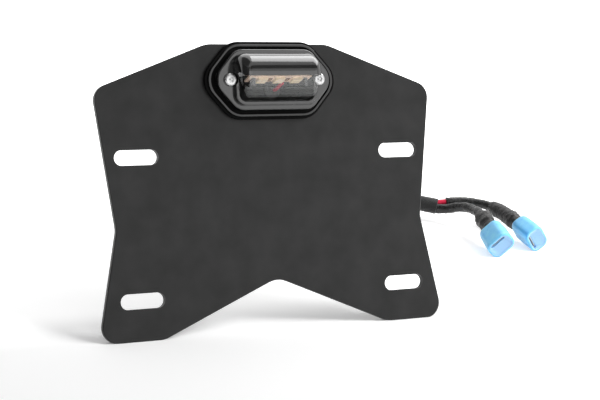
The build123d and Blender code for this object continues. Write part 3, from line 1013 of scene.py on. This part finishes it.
@dataclass
class Harness:
    """Sleeve, a bare stretch of wire at its end, and two leads with insulated spade connectors.

    Routes are in millimetres.
    """

    sleeve_diameter: float = 9.8 * MM
    sleeve_length: float = 0.282
    sleeve_open: float = 5 * MM
    sleeve_relief: Relief = Relief(0.03, 5 * MM, 0.012, 1.2 * MM)
    sleeve_route: tuple[Point, ...] = (
        (0, 19, 66.8), (0, 42, 66.8), (3, 66, 58), (12, 86.5, 43.5), (27, 101.5, 27), (46, 114.5, 11),
        (68, 126.5, 0), (91, 138.5, -3), (114, 148.5, -1), (136, 155.5, 2.6), (156, 156.5, 7.2),
        (170.5, 152.8, 8), (183.6, 145.3, 3.6),
    )
    wire_diameter: float = 3.6 * MM
    wire_relief: Relief = Relief(0.03, 3 * MM)
    wire_route: tuple[Point, ...] = ((181.6, 147.1, 5.6), (185.7, 145.742, 6.366), (190.4, 144.28, 6.4))
    leads: tuple[Lead, ...] = (
        Lead(
            "feed", 5.6 * MM, 0.0622,
            route=(
                (190.0, 144.4, 6.4), (201.5, 140.812, 6.492), (211, 133.8, 4), (216.58, 120.16, -1.42),
                (216, 99.3, -11.1),
            ),
            collar=(
                (0.0, 3.4), (3.0, 4.5), (9.0, 4.95), (20.0, 5.2), (25.0, 5.5), (26.5, 4.85), (32.0, 4.6),
            ),
            mouth=(215.5, 81.2, -19.5),
            width_direction=(-0.609, -0.322, 0.724),
        ),
        Lead(
            "earth", 6.2 * MM, 0.0606,
            route=(
                (181.6, 146.0, 2.9), (184.6, 143.5, 1.8), (189.6, 139.2, 2), (195.1, 131, 2.8),
                (196.9, 121.2, 0.2), (193.93, 109.68, -2.41), (189.3, 91.8, -12.4),
            ),
            collar=(
                (0.0, 3.75), (2.6, 4.9), (5.5, 5.5), (10.5, 5.35), (13.4, 5.5), (14.6, 4.75), (20.5, 4.6),
            ),
            mouth=(184.9, 74.8, -21.9),
            width_direction=(0.603, -0.5, 0.622),
        ),
    )

    def build(self) -> None:
        """Lays the sleeve and both leads, and makes what is on them."""
        for lead in self.leads:
            dress(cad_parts[lead.name + "_terminal"], Finishes.TINNED_BRASS)
        bare = Tube(
            "feed_insulation", smooth_line("bare", list(self.wire_route)), self.wire_diameter,
            Finishes.WIRE_RED, self.wire_relief,
        ).build()
        stand_for(bare, Finishes.WIRE_RED, "feed_wire")
        sleeve = Tube(
            "sleeve", smooth_line("sleeve", list(self.sleeve_route)), self.sleeve_diameter,
            Finishes.SLEEVE, self.sleeve_relief, open_depth=self.sleeve_open,
        )
        self.lay(sleeve, "harness_sleeve")
        for lead in self.leads:
            tube, carried = lead.build()
            self.lay(tube, lead.name + "_lead")

    def lay(self, tube: Tube, node: str) -> None:
        """Args:
            tube: The tube to build.
            node: The plain solid that it stands for.
        """
        piece = stand_for(tube.build(), tube.finish, node)


@dataclass
class PlateLamp:
    """Lamp with its tray, cover, lens, light board, fasteners, grommet and two thin wires.

    The wires' route is in millimetres, and the earth wire's is its mirror image.
    """

    grommet: Grommet = field(default_factory=Grommet)
    wire_diameter: float = 1.8 * MM
    wire_relief: Relief = Relief(0.03, 3 * MM)
    wire_round: float = 0.3 * MM
    wire_sides: int = 20
    wire_route: tuple[Point, ...] = (
        (3.4, -9.0, 70.0), (2.9, -6.6, 69.0), (1.9, -4.4, 67.2), (1.3, -3.2, 66.8), (1.3, 0.0, 66.8),
        (1.3, 19.0, 66.8),
    )

    def build(self) -> None:
        """Dresses every piece of the lamp, and makes its soft pieces."""
        dressed = {
            "lamp_gasket": Finishes.SEAL_RUBBER, "lamp_tray": Finishes.TRAY_PLASTIC,
            "lamp_cover": Finishes.LAMP_PLASTIC, "lamp_lens": Finishes.LENS_CLEAR,
            "light_board": Finishes.BOARD, "light_chips": Finishes.LIGHT_CHIP,
            "board_resistors": Finishes.RESISTOR,
        }
        for side in ("left", "right"):
            for kind in ("lamp_screw_", "washer_", "lock_nut_"):
                dressed[kind + side] = Finishes.STAINLESS
        for name, finish in dressed.items():
            dress(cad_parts[name], finish)
            LOG.info("%s: %s", name, finish.value.name)
        self.grommet.build()
        wires = (("feed", 1, Finishes.WIRE_RED), ("earth", -1, Finishes.WIRE_BLACK))
        for name, mirror, finish in wires:
            route = [(mirror * x, y, z) for x, y, z in self.wire_route]
            wire = Tube(
                name + "_inner_wire", smooth_line(name, route), self.wire_diameter, finish, self.wire_relief,
                end_round=self.wire_round, sides=self.wire_sides,
            ).build()
            stand_for(wire, finish, name + "_wire_inside")


@dataclass
class BracketPlate:
    """Flat powder-coated plate."""

    def build(self) -> None:
        """Dresses the plate."""
        dress(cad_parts["bracket_plate"], Finishes.POWDER_COAT)
        LOG.info("bracket_plate: %s", Finishes.POWDER_COAT.value.name)


def aim(thing: bpy.types.Object, place: Point, target: Point = (0.0, 0.0, 0.05)) -> None:
    """Puts a lamp or panel at a place, facing a target.

    Args:
        thing: The lamp or panel.
        place: Where it stands.
        target: What it faces.
    """
    thing.location = place
    towards = Vector(target) - Vector(place)
    thing.rotation_mode = "QUATERNION"
    thing.rotation_quaternion = towards.to_track_quat("-Z", "Y")


@dataclass(frozen=True)
class SoftLamp:
    """Soft square lamp, which shows in reflections if it is mirrored."""

    name: str
    place: Point
    size: float
    power: float
    mirrored: bool = True
    target: Point = (0.0, 0.0, 0.05)
    spread: float = math.pi

    def build(self) -> None:
        """Puts the lamp up, facing its target."""
        data = bpy.data.lights.new(self.name, "AREA")
        data.shape = "SQUARE"
        data.size = self.size
        data.energy = self.power
        data.spread = self.spread
        lamp = link(bpy.data.objects.new(self.name, data))
        lamp.visible_glossy = self.mirrored
        aim(lamp, self.place, self.target)


@dataclass(frozen=True)
class Panel:
    """Panel that only shows in reflections, lit or dark."""

    name: str
    place: Point
    width: float
    height: float
    strength: float

    def build(self) -> None:
        """Puts the panel up, facing the bracket."""
        width, height = self.width / 2, self.height / 2
        mesh = bpy.data.meshes.new(self.name)
        corners = [(-width, -height, 0), (width, -height, 0), (width, height, 0), (-width, height, 0)]
        mesh.from_pydata(corners, [], [(0, 1, 2, 3)])
        mesh.materials.append(Card(self.name, self.strength).material())
        panel = link(bpy.data.objects.new(self.name, mesh))
        for kind in ("camera", "diffuse", "transmission", "volume_scatter", "shadow"):
            setattr(panel, "visible_" + kind, False)
        aim(panel, self.place)


@dataclass
class Studio:
    """White ground that slopes under the bracket's feet, soft lamps, panels and a white surround."""

    foot_height: float = -54.6 * MM
    slope: float = math.radians(18.0)
    reach: float = 6.0
    surround: float = 0.33
    # The ground's painted light whitens it far from the bracket and fades the shadows behind the bracket.
    ground: PaleGround = PaleGround(
        "pale_ground", albedo=0.88, painted_light_levels=(0.1, 1.0), distances=(0.2, 0.7), behind_painted_light=0.45,
        behind_depth=45 * MM,
    )
    lamps: tuple[SoftLamp, ...] = (
        SoftLamp("top_lamp", (0.25, 0.3, 1.05), 1.3, 4.0),
        SoftLamp("key_lamp", (0.75, -0.6, 0.7), 0.6, 11.0, mirrored=False),
        SoftLamp(
            "harness_lamp", (0.55, -0.45, 0.35), 0.3, 0.24, mirrored=False, target=(0.2, 0.09, -0.02),
            spread=math.radians(50),
        ),
        SoftLamp("fill_lamp", (-0.2, -1.0, 0.0), 0.5, 1.2),
    )
    panels: tuple[Panel, ...] = (
        Panel("front_panel", (0.55, -1.1, 0.04), 1.1, 0.5, 1.85),
        Panel("front_gap", (0.5, -0.86, 0.62), 1.4, 0.36, 0.12),
        Panel("front_strip", (-0.3, -1.1, 0.35), 0.12, 0.4, 2.0),
        Panel("top_panel", (0.72, -0.05, 0.9), 0.84, 0.8, 5.0),
        Panel("right_panel", (1.1, -0.25, 0.15), 0.4, 0.9, 1.2),
        Panel("upper_left_flag", (-0.45, -0.2, 0.95), 1.3, 1.0, 0.12),
        Panel("left_flag", (-1.1, -0.35, 0.25), 1.1, 1.1, 0.05),
        Panel("front_left_flag", (-0.55, -1.15, 0.2), 1.0, 1.1, 0.1),
    )

    def rise(self, x: float, y: float) -> Point:
        """Point of the sloping ground above a place."""
        return (x, y, self.foot_height + y * math.tan(self.slope))

    def build(self) -> None:
        """Makes the ground, the lamps, the panels and the world."""
        far = self.reach
        corners = ((-far, -far), (far, -far), (far, far), (-far, far))
        mesh = bpy.data.meshes.new("ground")
        mesh.from_pydata([self.rise(x, y) for x, y in corners], [], [(0, 1, 2, 3)])
        mesh.materials.append(self.ground.material())
        floor = link(bpy.data.objects.new("ground", mesh))
        for thing in self.lamps + self.panels:
            thing.build()
        self.world()
        bpy.context.scene.view_settings.view_transform = "Standard"

    def world(self) -> None:
        """Makes a surround that lights softly and looks white."""
        world = bpy.data.worlds.new("surround")
        world.use_nodes = True
        graph = Graph(world.node_tree)
        back = graph.tree.nodes["Background"]
        graph.feed(back.inputs["Color"], rgba(grey(1.0)))
        graph.feed(back.inputs["Strength"], graph.fade(seen_rays(graph), (0.0, 1.0), (self.surround, 1.0)))
        bpy.context.scene.world = world


def main() -> None:
    """Builds the camera, the harness, the rest of the bracket and the studio."""
    logging.basicConfig(level=logging.INFO, format="%(name)s: %(message)s")
    Camera().build()
    Harness().build()
    BracketPlate().build()
    PlateLamp().build()
    Studio().build()


if __name__ == "__main__":
    main()
